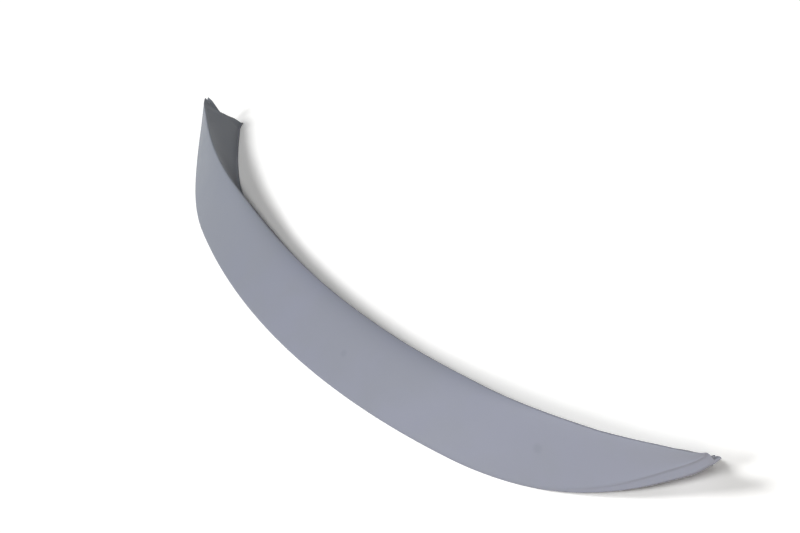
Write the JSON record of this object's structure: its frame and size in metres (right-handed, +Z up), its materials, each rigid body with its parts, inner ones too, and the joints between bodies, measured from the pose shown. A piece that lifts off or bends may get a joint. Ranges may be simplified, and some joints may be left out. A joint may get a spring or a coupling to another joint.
{
  "type": "car rear roof spoiler",
  "caption": "Crescent-shaped rear roof spoiler: a hollow moulded shell with a wide top face, a raised rear edge and swept, pointed ends.",
  "frame": {"origin": "middle of the footprint, on the plane that the underside is bonded to", "axes": "+X across the car, +Y to the rear, +Z up, away from the bonding plane"},
  "size_m": [1.15, 0.2392, 0.0676],
  "materials": {
    "primed_shell": "smooth grey primer, sprayed, with a faint satin sheen"
  },
  "bodies": {
    "root": {"spoiler_shell": "primed_shell"}
  },
  "joints": []
}
